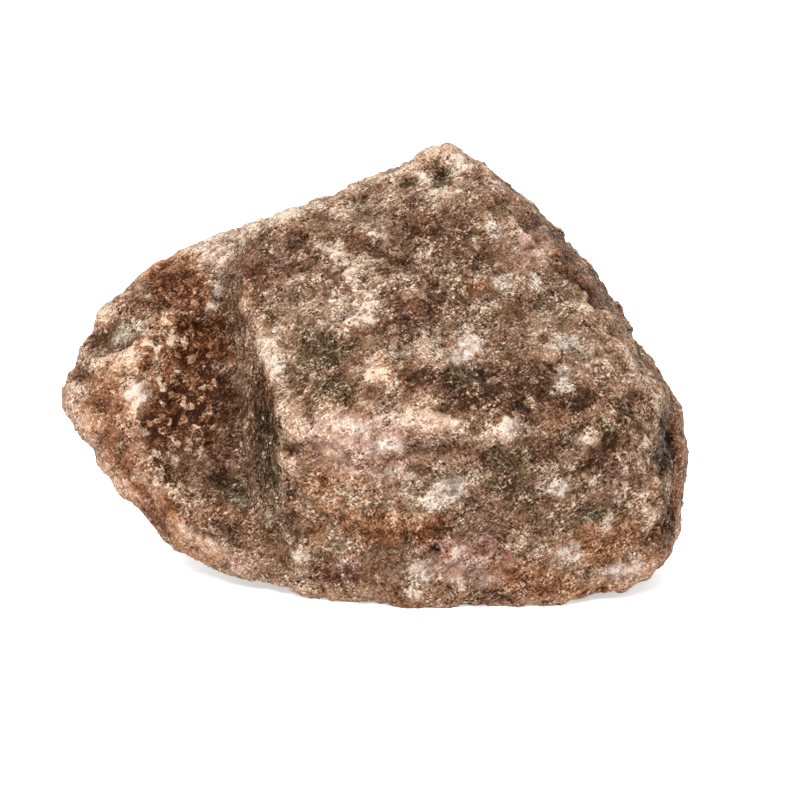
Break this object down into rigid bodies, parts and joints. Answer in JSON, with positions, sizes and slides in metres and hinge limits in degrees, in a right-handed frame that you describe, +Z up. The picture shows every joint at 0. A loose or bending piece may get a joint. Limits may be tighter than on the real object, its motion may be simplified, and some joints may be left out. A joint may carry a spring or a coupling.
{
  "type": "rough rock",
  "caption": "Rough broken lump of coarse crystalline reddish-brown stone, with a peaked top, a leaning front face and a lower shoulder, that rests on a flat patch underneath.",
  "frame": {"origin": "on the resting plane, at the middle of the rock's length and depth", "axes": "+X along the rock's length towards its steep right end, +Y towards its back, +Z up"},
  "size_m": [0.1818, 0.1104, 0.1215],
  "materials": {
    "stone": "rough broken crystal faces, sugary grain of brown, peach and white, slightly glassy at thin edges"
  },
  "bodies": {
    "root": {"rock": "stone"}
  },
  "joints": []
}
